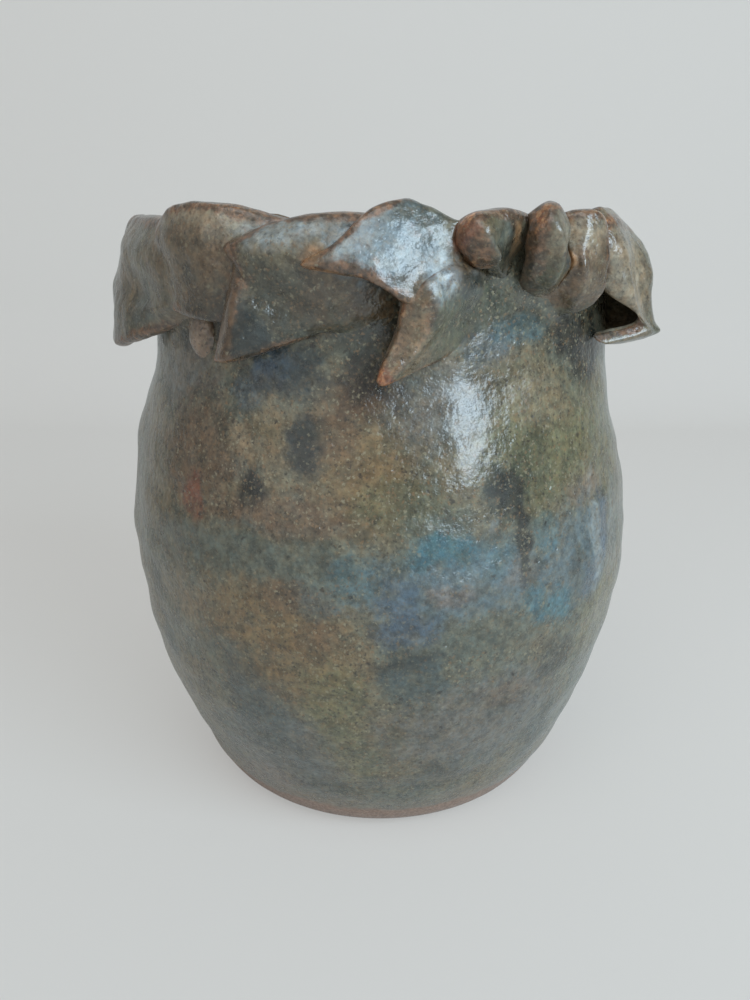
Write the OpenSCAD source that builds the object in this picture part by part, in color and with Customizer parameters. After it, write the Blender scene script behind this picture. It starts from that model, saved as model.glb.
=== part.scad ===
// Hand-built stoneware crock with a mouth of overlapping clay flaps, in millimetres.
// +Z is up, -Y is the front, and the origin is the centre of the flat foot.
// The wall is a stack of clay courses on a floor slab, joined on bevelled laps. The flaps are
// pieces of rolled slab. Each is pressed to the neck along one end, and its other end stands
// free, most of them over the flap before it.

/* [Wall] */
// Radius of the flat foot
foot_r = 52; // [40:1:58]
// Radius of the heel, where the foot's rounded edge meets the wall
heel_r = 63; // [60:1:70]
// Height of the heel
heel_z = 9; // [9:1:14]
// Outward lean of the wall at the heel, in mm out for each mm up
heel_lean = 0.5; // [0.2:0.05:0.7]
// Radius of the belly, the widest ring
belly_r = 84.4; // [76:0.2:95]
// Height of the belly
belly_z = 86; // [75:1:95]
// Radius of the shoulder, under the flaps
shoulder_r = 73; // [68:1:78]
// Height of the shoulder
shoulder_z = 150; // [135:1:158]
// Inward lean of the wall at the shoulder, in mm in for each mm up
shoulder_lean = 0.15; // [0:0.05:0.3]
// Radius of the lip, outside
lip_r = 72; // [66:1:76]
// Height of the lip
lip_z = 182; // [178:1:210]
// Thickness of the wall
wall_t = 6.5; // [5:0.5:8]
// Thickness of the floor slab
floor_t = 8; // [6:0.5:9]
// Number of courses between the floor and the neck
courses = 5; // [3:1:7]
// Height of the neck course, on the wall's outer face
neck_h = 34; // [26:1:44]
// Rise of each bevelled lap joint, from the wall's outer face to its inner face
lap_rise = 4; // [2:0.5:6]

/* [Flaps] */
// Thickness of the rolled slab that the flaps are cut from
slab_t = 5; // [3.5:0.5:6]
// Thickness left at a flap's finger-softened edge
edge_t = 3; // [2:0.5:3.5]
// How far the flaps flare from the wall, in mm for each unit of their nets
flare = 1; // [0.7:0.05:1.3]
// How far the flaps rise and hang from the level of the lip, in mm for each unit of their nets
hang = 1; // [0.8:0.05:1.2]
// Width of the wad of clay pressed under the second flap
wad_w = 10.5; // [6:0.5:12]
// Depth of the wad's centre below the lip
wad_drop = 25; // [22:1:30]

/* [Hidden] */
round_fn = 120;
ring_step = 5;      // height between the rings that draw the wall's curve
arc_step = 15;      // degrees between the points that draw the lip's round
edge_share = 0.03;  // share of a flap's length or height taken by each softened edge

neck_z = lip_z - neck_h;
course_h = (neck_z - floor_t) / courses;
lip_round = wall_t / 2;
lip_base = lip_z - lip_round;

// The nets that the flaps' outer faces are bent to: rows of points from the rim down, each row
// running from the flap's free end to the end on the neck. A point is [degrees round, units out
// from the wall, units up from the lip], and the face curves smoothly through all of them.
FOLDED = [
  [[-12, 3, 4.5], [-2, 4.5, 6.5], [10, 3, 6], [22, 3, 5.5], [31, -1, 5]],
  [[-14, 8, -3], [-2, 9, -2], [10, 7.5, -3], [24, 6, -4], [32, -1, -4]],
  [[-13, 12, -9.5], [-2, 10.5, -12], [10, 6, -15], [25, 5, -15], [31, -1, -16]],
  [[-13, 13, -16], [-2, 12, -18.5], [9, 8.5, -19.5], [19, 4.5, -19.5], [26, -1, -19]],
  [[-12, 13.5, -30.5], [-2, 12.5, -31], [10, 8, -27], [17, 2.5, -24], [21, -1, -23]]];
BROAD = [
  [[-11, 4.5, 5.5], [-3, 6.5, 8.5], [8, 5.5, 8.7], [20, -1, 4.5]],
  [[-10, 7, 1], [-2, 9, 1], [9, 8, 1], [21, -1, -2]],
  [[-8, 6.5, -5.5], [1, 8.5, -6], [10, 8, -7], [20, -1, -9]],
  [[-8, 5.5, -12], [0, 7.5, -13], [8, 7, -14], [17, -1, -15]],
  [[-8, 5, -18.5], [0, 7, -19.5], [7, 6, -20.5], [14, -1, -21]]];
CORNERED = [
  [[-7, 4, 4], [-4, 6, 4.8], [3, 6, 6], [10, 4, 6], [18, -1, 5]],
  [[-10.5, 6.5, 1.5], [-7.5, 9, 1.5], [1, 10, 1.2], [10, 6.5, 0.5], [19, -1, 0]],
  [[-14.5, 8, -1.5], [-10.8, 11, -2], [-2, 11, -4], [8, 7.5, -6], [19, -1, -6]],
  [[-13.2, 8, -5.3], [-9, 10.5, -7.5], [-1.5, 9, -11.5], [6, 6, -13.5], [19, -1, -13]],
  [[-13.6, 8.5, -9], [-9.3, 10.5, -10.5], [-2, 6.5, -15], [6, 4.5, -17], [18, -1, -17]],
  [[-15.5, 8.5, -16.8], [-10.5, 12, -15], [-3.5, 7.5, -19], [4, 4, -19.5], [16, -1, -19]],
  [[-16.5, 9.5, -24], [-11.7, 12.5, -23.5], [-6, 8, -23.5], [1, 3.5, -22], [12, -1, -21]],
  [[-17, 10, -29.6], [-13, 12, -29], [-8, 7.5, -26.8], [-2.5, 4, -24.3], [4, -1, -21]]];
CRESTED = [
  [[-14.5, 11.5, -4.5], [-9, 10, 0], [-4, 7, 6.6], [2, 5, 9.3], [7, 5, 7.5], [12, 4, 4.4], [18, 1, 3.5]],
  [[-14.6, 12, -5], [-9.5, 12, -2.5], [-4.5, 10, 1.5], [1, 8, 3.5], [6, 7.5, 1.5],
   [11, 6, -1], [18, 1, -2]],
  [[-14.7, 12.3, -5.3], [-9.8, 13, -5], [-5, 12.2, -3.5], [0, 11, -4], [4, 10, -6],
   [9, 7.5, -8], [17, 1, -9]],
  [[-14.8, 11.5, -5.7], [-10, 12, -7.2], [-5, 12.5, -8.2], [-1, 12.5, -11.2], [2, 11, -14],
   [7, 7.5, -15], [14, -1, -15]]];
POINTED = [
  [[-10.2, 9, -14], [-7, 11, -9.3], [-3.8, 9.5, -7], [0, 7.5, -6], [8, -1, -6]],
  [[-10.6, 9, -16.8], [-5, 11, -13], [-2.9, 9.5, -11], [1, 7, -9.5], [8.5, -1, -9]],
  [[-11.2, 8.5, -20.4], [-4.7, 10.3, -17], [-1.8, 8, -15.3], [2.6, 4.5, -13], [9, -1, -12]],
  [[-12.6, 9, -25], [-7.1, 10, -24], [-3.5, 7, -21], [0.5, 4, -18.2], [7, -1, -16.5]],
  [[-14.1, 9.5, -30], [-10.7, 10, -30], [-6.5, 7, -28], [-1.3, 3.5, -25.5], [5, -1, -23]],
  [[-14.6, 9.5, -32.6], [-13.6, 9.5, -33.6], [-10.8, 8, -32.6], [-5.6, 5, -30], [2, -1, -26.5]]];
LOBED = [
  [[-6.2, 7, 3.4], [-4.4, 9, 5.5], [-1, 8.5, 6.8], [4.5, 6, 7], [12, 1, 5.5]],
  [[-6.4, 9, 1.7], [-3.6, 12, 2.7], [-1, 11, 3.5], [3.5, 8, 3], [11.5, 1, 2.5]],
  [[-6.4, 9, -0.5], [-2.4, 12.5, 0], [-0.5, 11, 0], [3, 7.5, -0.5], [10, 0, -1]],
  [[-5.6, 8, -2.7], [-1.2, 12, -2.2], [0.8, 9.5, -2.8], [3, 6, -3.8], [8, -1, -4]],
  [[-3.8, 7, -5.2], [-0.2, 10, -4.6], [1.3, 8, -5], [4, 4, -6], [8, -1, -7]],
  [[-2, 6, -6.6], [-0.2, 7, -6.4], [2, 4.5, -7.5], [4.5, 1.5, -9], [8, -2, -10]]];
PLEATED = [
  [[-4, 8.5, 6], [-2.2, 10, 8], [0.3, 9, 8.6], [3, 6, 7.5], [8, -1, 6]],
  [[-4.8, 10.5, 3.3], [-2.8, 13, 4], [0, 12, 4], [3, 9, 3.4], [8, -1, 3]],
  [[-5, 10, 1.1], [-1.8, 14, 0.9], [0.8, 12, 0], [3.6, 8.5, -1.2], [8, -1, -2]],
  [[-4.2, 8.5, -2.9], [-0.6, 12.5, -3.5], [1.6, 10.5, -4.3], [4.4, 7, -5.4], [8, -1, -6]],
  [[-3.4, 6.5, -7], [0.4, 10, -7.5], [2.5, 8, -8.2], [5, 4.5, -9.3], [8, -1, -10]],
  [[-2.4, 3, -11], [0.8, 5.5, -11.5], [3, 4.5, -12], [5.5, 2, -13], [8, -2, -14]],
  [[-1, -1, -13.5], [1.5, -0.5, -14], [3.5, -0.5, -14.5], [5.5, -1, -15], [8, -2, -16]]];
TURNED = [
  [[5, 8, 6.3], [2.5, 8.5, 7.4], [0, 7, 7], [-1.2, 5.5, 6.5], [-2.3, 3.5, 6]],
  [[6, 9, 2.5], [3, 9.5, 3.2], [0, 8.5, 3], [-1.2, 6.5, 3], [-2.3, 3.5, 3]],
  [[6, 10, -3.6], [2.6, 10, -2.5], [0, 9, -2.5], [-1.8, 8, -3], [-3, 3, -2.6]],
  [[6, 9.5, -8.2], [2.5, 10, -7.5], [0, 9.5, -7.5], [-2, 8.5, -7.5], [-3.5, 1.5, -7.5]],
  [[6.5, 9, -12.2], [4, 9, -12.5], [1.5, 8, -13], [-0.5, 7, -13.5], [-3, 1, -13.5]],
  [[4.5, 7.5, -16.5], [3.2, 6.5, -17.8], [2, 4, -19], [0.5, 1.5, -19.5], [-1, -2, -19]]];
CUPPED = [
  [[-16, 2, 3.8], [-12, 4, 5.6], [-4, 4.5, 5], [6, 5, 3.2], [20, -1, 5]],
  [[-16, 5, -3], [-12, 8.5, -3], [-5, 8, -2], [4, 9.5, -1.5], [20, -1, -3]],
  [[-14, 5, -9], [-11, 10, -9.5], [-5, 9.5, -9], [3, 13, -9], [19, -1, -10]],
  [[-13, 4.5, -13.5], [-9.5, 11, -15.5], [-4, 11, -16], [4, 12.8, -16], [18, -1, -17]],
  [[-6.5, 11.5, -21], [-5, 12.5, -22], [-2, 13, -22.5], [4, 14, -23], [16, -1, -22]],
  [[-4.5, 13.5, -25.5], [-3, 14.5, -26.3], [0, 15, -26.7], [5, 15, -26.7], [16, -1, -26]],
  [[-11, 3.5, -29], [-7, 4, -29.5], [-2, 6, -30], [5, 6, -30], [15, -2, -29]]];

// Which way a flap's back lies from its face, in slab thicknesses: [inward, up]
STRAIGHT = [1, 0];
TILTED = [0.8, 0.7];

// The flaps in order round the mouth, from the left of the front: net, bearing in degrees round
// from the front, and which way the back lies
FLAPS = [
  [FOLDED, -70, STRAIGHT], [BROAD, -39, STRAIGHT], [CORNERED, -14, STRAIGHT],
  [CRESTED, 2, STRAIGHT], [POINTED, 14, STRAIGHT], [LOBED, 20, STRAIGHT], [PLEATED, 32, STRAIGHT],
  [TURNED, 41, STRAIGHT], [CUPPED, 68, TILTED], [BROAD, 105, STRAIGHT], [CORNERED, 129, STRAIGHT],
  [CRESTED, 146, STRAIGHT], [POINTED, 159, STRAIGHT], [LOBED, 165, STRAIGHT],
  [FOLDED, 186, STRAIGHT], [BROAD, 216, STRAIGHT], [CORNERED, 240, STRAIGHT],
  [POINTED, 262, STRAIGHT], [LOBED, 269, STRAIGHT]];

// Curve from a to b as t goes from 0 to 1, leaving a at slope sa and reaching b at slope sb
function curve(t, a, b, sa, sb) =
  (1 + 2 * t) * pow(1 - t, 2) * a + t * pow(1 - t, 2) * sa
  + pow(t, 2) * (3 - 2 * t) * b + pow(t, 2) * (t - 1) * sb;

// The same curve over a span of heights, with slopes in mm out for each mm up
function span_r(z, z0, z1, r0, r1, lean0, lean1) =
  curve((z - z0) / (z1 - z0), r0, r1, lean0 * (z1 - z0), lean1 * (z1 - z0));

// Radius of the rounded edge of the foot, which leaves the table flat and meets the wall's lean
function foot_edge_r(z) =
  let (t = sqrt(z / heel_z))
  pow(1 - t, 2) * foot_r + 2 * t * (1 - t) * (heel_r - heel_lean * heel_z) + t * t * heel_r;

// Outer radius of the pot at a height
function wall_r(z) =
  z < heel_z ? foot_edge_r(z)
  : z < belly_z ? span_r(z, heel_z, belly_z, heel_r, belly_r, heel_lean, 0)
  : z < shoulder_z ? span_r(z, belly_z, shoulder_z, belly_r, shoulder_r, 0, -shoulder_lean)
  : span_r(z, shoulder_z, lip_base, shoulder_r, lip_r, -shoulder_lean, 0);

// Evenly spaced heights from one level to another, up or down
function levels(from, to) =
  let (n = ceil(abs(to - from) / ring_step))
  [for (i = [0:n]) from + (to - from) * i / n];

function outer_line(from, to) = [for (z = levels(from, to)) [wall_r(z), z]];
function inner_line(from, to) = [for (z = levels(from, to)) [wall_r(z) - wall_t, z]];

// Points on the round of the lip, with 0 on its outer side and 180 on its inner side
function lip_arc(from, to) =
  [for (a = [from:arc_step:to]) [lip_r - lip_round + lip_round * cos(a), lip_base + lip_round * sin(a)]];

// Point on a smooth curve through a list of points, with t running from 0 to 1 along it
function spline(points, t) =
  let (
    last = len(points) - 1,
    k = min(floor(t * last), last - 1),
    u = t * last - k,
    b = points[k],
    c = points[k + 1],
    a = k > 0 ? points[k - 1] : 2 * b - c,
    d = k < last - 1 ? points[k + 2] : 2 * c - b)
  b + u / 2 * (c - a + u * (2 * a - 5 * b + 4 * c - d + u * (3 * (b - c) + d - a)));

// Point in a flap, at a depth in slab thicknesses below its outer face: across and down are 0 at
// the free end and the top edge, and 1 at the end on the neck and the bottom edge
function flap_point(flap, across, down, depth) =
  let (
    p = spline([for (row = flap[0]) spline(row, across)], down),
    face_z = lip_z + p[2] * hang,
    r = wall_r(min(face_z, lip_base)) + p[1] * flare - depth * slab_t * flap[2][0],
    bearing = flap[1] + p[0])
  [r * sin(bearing), -r * cos(bearing), face_z + depth * slab_t * flap[2][1]];

// Shares of a grid's length at which it is sampled: two steps for each of the net's, and one
// more near each end for the softened edge
function samples(steps) =
  concat([0, edge_share], [for (k = [1:2 * steps - 1]) k / (2 * steps)], [1 - edge_share, 1]);

// Rolled slab bent to a flap's net, with softened edges
module slab(flap) {
  across = samples(len(flap[0][0]) - 1);
  down = samples(len(flap[0]) - 1);
  nu = len(across);
  nv = len(down);
  edge_in = (1 - edge_t / slab_t) / 2;
  function sunk(i, j) = i == 0 || i == nu - 1 || j == 0 || j == nv - 1 ? edge_in : 0;
  function layer(back) = [for (j = [0:nv - 1]) for (i = [0:nu - 1])
    flap_point(flap, across[i], down[j], back ? 1 - sunk(i, j) : sunk(i, j))];
  function at(i, j, back) = i + nu * j + (back ? nu * nv : 0);
  quads = [
    for (j = [0:nv - 2]) for (i = [0:nu - 2])
      [at(i, j, false), at(i + 1, j, false), at(i + 1, j + 1, false), at(i, j + 1, false)],
    for (j = [0:nv - 2]) for (i = [0:nu - 2])
      [at(i, j, true), at(i, j + 1, true), at(i + 1, j + 1, true), at(i + 1, j, true)],
    for (i = [0:nu - 2]) each [
      [at(i, 0, true), at(i + 1, 0, true), at(i + 1, 0, false), at(i, 0, false)],
      [at(i, nv - 1, false), at(i + 1, nv - 1, false), at(i + 1, nv - 1, true), at(i, nv - 1, true)]],
    for (j = [0:nv - 2]) each [
      [at(0, j, true), at(0, j, false), at(0, j + 1, false), at(0, j + 1, true)],
      [at(nu - 1, j, false), at(nu - 1, j, true), at(nu - 1, j + 1, true), at(nu - 1, j + 1, false)]]];
  triangles = [for (q = quads) each [[q[0], q[1], q[2]], [q[0], q[2], q[3]]]];
  leftward = flap[0][0][0][0] < flap[0][0][len(flap[0][0]) - 1][0];
  turned = [for (t = triangles) leftward ? t : [t[0], t[2], t[1]]];
  polyhedron(concat(layer(false), layer(true)), turned);
}

// Everything inside the wall's outer face, up to the lip, for trimming what is pressed to the neck
module inside_neck() {
  bottom = neck_z - course_h;
  rotate_extrude($fn = round_fn)
    polygon(concat([[0, bottom]], outer_line(bottom, lip_base), lip_arc(arc_step, 90), [[0, lip_z]]));
}

module base_slab() {
  color("#a98c78")
    rotate_extrude($fn = round_fn)
      polygon(concat([[0, 0]],
        [for (k = [0:0.25:1]) [wall_r(floor_t * k * k), floor_t * k * k]],
        [[0, floor_t]]));
}

module wall_course(i) {
  low = floor_t + (i - 1) * course_h;
  high = low + course_h;
  low_lap = i == 1 ? 0 : lap_rise;
  color(["#7d7368", "#70747a", "#66807f", "#7b7862", "#746f5e"][i % 5])
    rotate_extrude($fn = round_fn)
      polygon(concat(outer_line(low, high), inner_line(high + lap_rise, low + low_lap)));
}

module neck_course() {
  color("#6f6a5c")
    rotate_extrude($fn = round_fn)
      polygon(concat(outer_line(neck_z, lip_base), lip_arc(arc_step, 180 - arc_step),
        inner_line(lip_base, neck_z + lap_rise)));
}

// A flap, trimmed to the neck and to the two flaps before it, which it is pressed onto
module rim_flap(i) {
  color(i % 2 == 0 ? "#857258" : "#6f705f")
    difference() {
      slab(FLAPS[i - 1]);
      inside_neck();
      for (k = [1, 2])
        slab(FLAPS[(i - 1 - k + len(FLAPS)) % len(FLAPS)]);
    }
}

// Wad of clay pressed to the neck below the second flap
module clay_wad() {
  bearing = -41.5;
  height = lip_z - wad_drop;
  color("#9a8172")
    difference() {
      rotate([0, 0, bearing])
        translate([0, -wall_r(height) + wad_w / 8, height])
          resize([wad_w, wad_w * 0.6, wad_w * 1.3])
            sphere(r = wad_w / 2, $fn = 24);
      inside_neck();
    }
}

base_slab();
for (i = [1:courses])
  wall_course(i);
neck_course();
clay_wad();
for (i = [1:len(FLAPS)])
  rim_flap(i);
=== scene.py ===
"""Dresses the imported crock: a glazed stoneware wall, folded slab flaps and a wad of clay, with a
table, lights and a camera.

Positions are in metres in the CAD frame. Helpers that build shapes work in millimetres.
"""
import math

import bpy
import numpy as np
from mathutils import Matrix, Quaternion, Vector
from mathutils.bvhtree import BVHTree
from mathutils.kdtree import KDTree


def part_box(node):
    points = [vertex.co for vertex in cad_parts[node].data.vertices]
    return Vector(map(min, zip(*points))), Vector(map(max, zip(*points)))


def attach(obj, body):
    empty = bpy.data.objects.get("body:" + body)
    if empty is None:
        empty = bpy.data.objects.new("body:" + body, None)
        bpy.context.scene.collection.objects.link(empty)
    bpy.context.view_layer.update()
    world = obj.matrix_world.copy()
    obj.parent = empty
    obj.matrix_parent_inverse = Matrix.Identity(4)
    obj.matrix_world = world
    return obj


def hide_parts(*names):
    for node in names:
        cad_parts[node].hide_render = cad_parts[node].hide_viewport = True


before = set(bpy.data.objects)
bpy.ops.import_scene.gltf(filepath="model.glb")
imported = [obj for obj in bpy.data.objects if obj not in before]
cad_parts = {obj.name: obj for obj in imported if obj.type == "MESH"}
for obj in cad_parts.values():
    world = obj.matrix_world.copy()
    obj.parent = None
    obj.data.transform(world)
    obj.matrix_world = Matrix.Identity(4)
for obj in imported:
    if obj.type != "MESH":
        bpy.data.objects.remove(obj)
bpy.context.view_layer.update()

MM = 0.001
COURSES = sorted(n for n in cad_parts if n.startswith("wall_course"))
WALL_NODES = ["base_slab"] + COURSES + ["neck_course"]


# ---------------------------------------------------------------- camera

def make_camera():
    """The photograph's camera: just above the rim, looking down at the belly."""
    down, turned = 18.2, 0.35       # degrees
    data = bpy.data.cameras.new("camera")
    data.lens = 29.12
    data.sensor_width = 36
    data.clip_start = 0.01
    camera = bpy.data.objects.new("camera", data)
    camera.location = (0, -0.276, 0.18335)
    camera.rotation_euler = (math.radians(90 - down), 0, math.radians(turned))
    bpy.context.scene.collection.objects.link(camera)
    bpy.context.scene.camera = camera


# ---------------------------------------------------------------- shared helpers

def node_points(*names):
    """Vertices of CAD nodes, in mm."""
    rows = []
    for name in names:
        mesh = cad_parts[name].data
        co = np.empty(len(mesh.vertices) * 3)
        mesh.vertices.foreach_get("co", co)
        rows.append(co.reshape(-1, 3) / MM)
    return np.concatenate(rows)


def new_piece(name, points, faces, material):
    """Smooth-shaded mesh object from points in mm."""
    mesh = bpy.data.meshes.new(name)
    mesh.from_pydata((np.asarray(points) * MM).tolist(), [], faces)
    mesh.validate()
    piece = bpy.data.objects.new(name, mesh)
    bpy.context.scene.collection.objects.link(piece)
    mesh.materials.append(material)
    mesh.polygons.foreach_set("use_smooth", [True] * len(mesh.polygons))
    return piece


def apply_modifiers(piece):
    """Bakes a piece's modifiers into its mesh."""
    depsgraph = bpy.context.evaluated_depsgraph_get()
    depsgraph.update()
    mesh = bpy.data.meshes.new_from_object(piece.evaluated_get(depsgraph))
    old = piece.data
    piece.modifiers.clear()
    piece.data = mesh
    mesh.name = old.name
    bpy.data.meshes.remove(old)


def mesh_points(piece):
    """A piece's vertices in mm."""
    co = np.empty(len(piece.data.vertices) * 3)
    piece.data.vertices.foreach_get("co", co)
    return co.reshape(-1, 3) / MM


def mesh_normals(piece):
    """A piece's vertex normals."""
    no = np.empty(len(piece.data.vertices) * 3)
    piece.data.vertices.foreach_get("normal", no)
    return no.reshape(-1, 3)


def set_points(piece, points):
    """Moves a piece's vertices to points in mm."""
    piece.data.vertices.foreach_set("co", (points * MM).ravel())
    piece.data.update()


class ClayNoise:
    """Smooth random field that repeats after a number of cells, for hand-made unevenness."""

    CELLS = 32

    def __init__(self, seed):
        self.lattice = np.random.default_rng(seed).uniform(-1, 1, (self.CELLS,) * 3)

    def at(self, points, size):
        """Value between -1 and 1 at points in mm, with lumps of about the given size."""
        q = points / size
        cell = np.floor(q).astype(int)
        f = q - cell
        f = f * f * (3 - 2 * f)
        total = 0
        for dx in (0, 1):
            for dy in (0, 1):
                for dz in (0, 1):
                    weight = (np.abs(1 - dx - f[:, 0]) * np.abs(1 - dy - f[:, 1])
                              * np.abs(1 - dz - f[:, 2]))
                    corner = (cell + (dx, dy, dz)) % self.CELLS
                    total = total + weight * self.lattice[corner[:, 0], corner[:, 1], corner[:, 2]]
        return total


# ---------------------------------------------------------------- the wall

def cylinder_point(bearing, radius, z):
    """Point at a bearing in degrees round from the front."""
    a, radius, z = np.broadcast_arrays(np.radians(bearing), radius, z)
    return np.stack([radius * np.sin(a), -radius * np.cos(a), z], -1)


class WallLine:
    """The CAD wall's outline: outer radius by height, with the wall's and the floor's thickness."""

    NEAR_LIP = 5        # mm below the top in which the lip's outer radius is found
    LAP = 4             # mm of height over which rings are compared with their neighbours
    STEP = 0.5          # mm between the outline's levels
    REACH = 8           # levels to each side that the smoothing takes in
    FOOT = 8            # mm above the ground over which the smoothing sets in

    def __init__(self):
        neck = node_points("neck_course")
        neck_r = np.hypot(neck[:, 0], neck[:, 1])
        self.lip_z = neck[:, 2].max()
        self.lip_out = neck_r[neck[:, 2] > self.lip_z - self.NEAR_LIP].max()
        crown = neck_r[neck[:, 2] > self.lip_z - 0.01].mean()
        self.wall = 2 * (self.lip_out - crown)
        self.lip_base = self.lip_z - self.wall / 2
        slab = node_points("base_slab")
        self.floor_z = slab[:, 2].max()
        foot_z, foot_r = rings(slab)
        z, r = rings(node_points(*COURSES, "neck_course"))
        # Rings on the inner face and in the lap joints lie well inside their neighbours
        deep = 0.4 * self.wall
        outer = [r[k] > r[abs(z - z[k]) < self.LAP].max() - deep for k in range(len(z))]
        keep = np.array(outer) & (z > self.floor_z) & (z <= self.lip_base)
        self.z = np.arange(0, self.lip_base + self.STEP / 2, self.STEP)
        r = np.interp(self.z, np.append(foot_z, z[keep]), np.append(foot_r, r[keep]))
        reach = self.REACH
        kernel = np.hanning(2 * reach + 1) / np.hanning(2 * reach + 1).sum()
        ends = np.concatenate([2 * r[0] - r[reach:0:-1], r, 2 * r[-1] - r[-2:-reach - 2:-1]])
        blend = np.clip(self.z / self.FOOT, 0, 1)
        self.r = (1 - blend) * r + blend * np.convolve(ends, kernel, "valid")

    def outer(self, z):
        """The wall's outer radius at a height."""
        return np.interp(z, self.z, self.r)


def rings(points):
    """Levels of a turned solid's points, with the largest radius at each."""
    radius = np.hypot(points[:, 0], points[:, 1])
    level = np.round(points[:, 2], 2)
    z = np.unique(level)
    return z, np.array([radius[level == k].max() for k in z])


def wall_section(line):
    """The wall's closed section as (radius, height) from the foot's centre to the floor's centre."""
    step, inner_step, flat_step = 1.25, 2.25, 3     # mm between points
    fillet = 9                                      # mm, where the wall meets the floor
    rounded_foot = np.array([0, 0.3, 0.8, 1.5, 2.4])
    heights = np.concatenate([rounded_foot, np.arange(3.4, line.lip_base, step)])
    under = [(r, 0) for r in np.arange(0, line.outer(0), flat_step)]
    outside = [(line.outer(z), z) for z in heights]
    half = line.wall / 2
    lip = [(line.lip_out - half + half * math.cos(a), line.lip_base + half * math.sin(a))
           for a in np.linspace(0, math.pi, 11)]
    low = line.floor_z + fillet
    inside = [(line.outer(z) - line.wall, z)
              for z in np.arange(line.lip_base - step, low, -inner_step)]
    corner_r = line.outer(low) - line.wall - fillet
    turn = [(corner_r + fillet * math.cos(a), low - fillet * math.sin(a))
            for a in np.linspace(0, math.pi / 2, 9)]
    floor = [(r, line.floor_z) for r in np.arange(corner_r - flat_step, 0, -flat_step)]
    return under + outside + lip + inside + turn + floor + [(0, line.floor_z)]


# Dents and swellings that the potter's hands left: bearing, height on the pot, size, and mm that
# they stand out
HAND_MARKS = [
    (-80, 121, 13, 1.7), (-76, 93, 10, 0.8), (-78, 65, 14, -1.5), (-80, 40, 12, 1.0),
    (-78, 146, 10, -0.8), (78, 134, 11, -1.0), (80, 108, 12, 0.5), (76, 60, 15, -1.2),
    (74, 33, 13, -1.2), (-52, 80, 13, -1.1), (-45, 50, 15, 0.8), (18, 126, 17, 2.0),
    (6, 143, 7, -0.8), (25, 141, 9, -0.5), (48, 95, 9, 0.8), (57, 98, 7, -0.7),
    (-20, 30, 14, -0.6), (35, 70, 12, -0.7), (110, 120, 16, 1.0), (150, 75, 18, -1.3),
    (190, 110, 16, 1.1), (225, 60, 18, -1.1), (255, 100, 15, 0.9), (170, 40, 15, 0.9),
    (128, 50, 14, -0.9), (205, 140, 12, -0.8)]

# The same on the flaps: the crested and pointed flaps' faces pressed in and out, a dent in the
# lobed flap, and the eighth flap's small tooth with the dent beside it
FLAP_MARKS = [
    (10, 180, 6, -1.5), (8, 167, 6, 1.0), (9, 192, 7, -1.6), (37.5, 176, 3.2, 1.8),
    (34.8, 179, 3, -1.2), (20, 183, 4, -0.8)]

COIL = 15.5     # mm between the ripples that the coils left


def marks_at(marks, points):
    """Sum of hand marks at points, in mm outward."""
    total = np.zeros(len(points))
    for bearing, height, size, rise in marks:
        centre = cylinder_point(bearing, np.hypot(points[:, 0], points[:, 1]), height)
        offset = points - centre
        total += rise * np.exp(-(offset ** 2).sum(1) / size ** 2)
    return total


def turned_mesh(section, turns):
    """Points and faces of a closed section, as (radius, height), turned about the upright axis."""
    angles = np.linspace(0, 2 * math.pi, turns, endpoint=False)
    levels = section[1:-1]
    points = [(0, 0, section[0][1])]
    for r, z in levels:
        points.extend(zip(r * np.sin(angles), -r * np.cos(angles), np.full(turns, z)))
    points.append((0, 0, section[-1][1]))
    faces = [(0, 1 + (k + 1) % turns, 1 + k) for k in range(turns)]
    for j in range(len(levels) - 1):
        a, b = 1 + j * turns, 1 + (j + 1) * turns
        for k in range(turns):
            n = (k + 1) % turns
            faces.append((a + k, a + n, b + n, b + k))
    last, end = 1 + (len(levels) - 1) * turns, len(points) - 1
    return points, faces + [(last + k, last + (k + 1) % turns, end) for k in range(turns)]


def wall_relief(line, p):
    """How far the hand-built wall stands out from its smooth outline at points, in mm."""
    z = p[:, 2]
    noise = ClayNoise(7)
    warped = p + 6 * np.stack([noise.at(p + k, 20) for k in (0, 300, 600)], -1)
    lumps = 0.55 * noise.at(p, 26) + 0.25 * noise.at(p + 100, 11) + 0.12 * noise.at(p + 200, 4)
    coils = 0.15 * np.cos(warped[:, 2] * 2 * math.pi / COIL)
    # The relief fades in above the foot and the floor, and is held back on the lip
    rise = np.clip((z - 2) / 14, 0, 1)
    on_lip = np.clip((z - line.lip_base + 2) / 3, 0, 1)
    body = (lumps + coils + marks_at(HAND_MARKS, p)) * rise * (1 - 0.7 * on_lip)
    inner = 0.6 * (lumps + 1.2 * coils) * np.clip((z - line.floor_z) / 10, 0.15, 1)
    mid_wall = line.outer(np.clip(z, 0, line.lip_base)) - 0.5 * line.wall
    relief = np.where(np.hypot(p[:, 0], p[:, 1]) > mid_wall, body, inner)
    return np.where(z < 0.01, 0, relief)


def make_wall(line, material):
    """One continuous skin for the slab, courses and neck, lumpy as coil-built clay is."""
    points, faces = turned_mesh(wall_section(line), 352)
    wall = new_piece("crock_wall", points, faces, material)
    p, n = mesh_points(wall), mesh_normals(wall)
    set_points(wall, p + n * wall_relief(line, p)[:, None])
    return wall


# ---------------------------------------------------------------- the flaps

SLAB = 5.0      # thickness of the rolled slab, mm
SOFT = 1.5      # mm from a flap's edge over which fingers rounded it
LAYERS = 6      # strips of faces across a flap's cut edge
BULGE = 0.5     # mm by which the cut edge swells between the faces

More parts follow.
